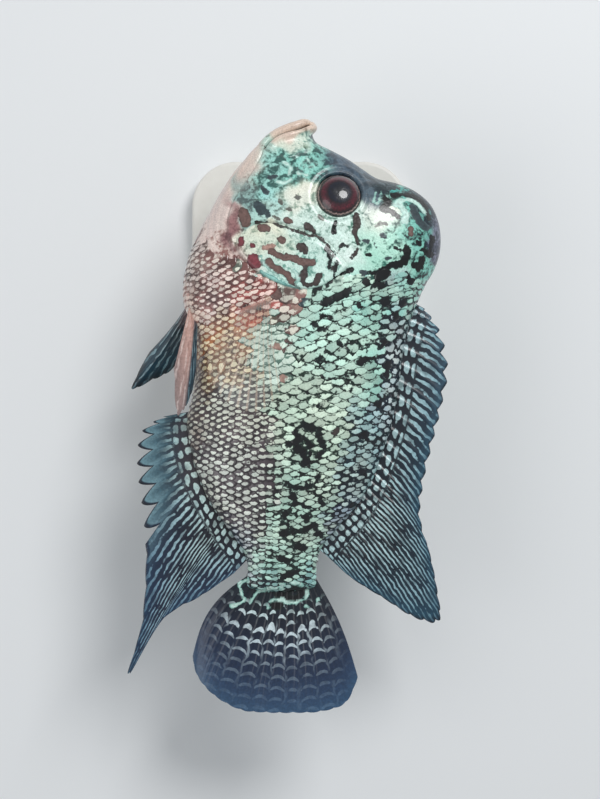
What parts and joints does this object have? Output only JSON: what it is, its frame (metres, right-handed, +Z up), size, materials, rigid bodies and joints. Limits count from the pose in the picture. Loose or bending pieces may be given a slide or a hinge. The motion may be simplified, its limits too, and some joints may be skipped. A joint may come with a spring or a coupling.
{
  "type": "flowerhorn cichlid model",
  "caption": "Life-size model of a flowerhorn cichlid with a large nuchal hump, lying left flank up on a small display stand.",
  "frame": {"origin": "centre of the underside of the stand's plate", "axes": "+Z up from the plate, +Y from tail to snout, +X from belly to back"},
  "size_m": [0.1085, 0.2018, 0.0803],
  "materials": {
    "skin": "moist scaled skin, mint and pearl with black and maroon marks",
    "throat_skin": "moist smooth skin, beige pink",
    "eye": "clear wet cornea over a deep maroon iris",
    "fin": "thin moist membrane, dark blue with pale streaks",
    "pale_fin": "thin moist membrane, clear with a beige root",
    "stand_plate": "satin, pale",
    "stand_rod": "brushed along its length"
  },
  "bodies": {
    "root": {"head": "skin", "lower_jaw": "throat_skin", "nuchal_hump": "skin", "gill_cover_left": "skin", "gill_cover_right": "skin", "eye_left": "eye", "eye_right": "eye", "torso": "skin", "tail_stem": "skin", "dorsal_fin": "fin", "anal_fin": "fin", "caudal_fin": "fin", "pectoral_fin_left": "pale_fin", "pectoral_fin_right": "pale_fin", "pelvic_fin_left": "fin", "pelvic_fin_right": "fin", "stand_base": "stand_plate", "stand_rod_front": "stand_rod", "stand_rod_rear": "stand_rod"}
  },
  "joints": []
}
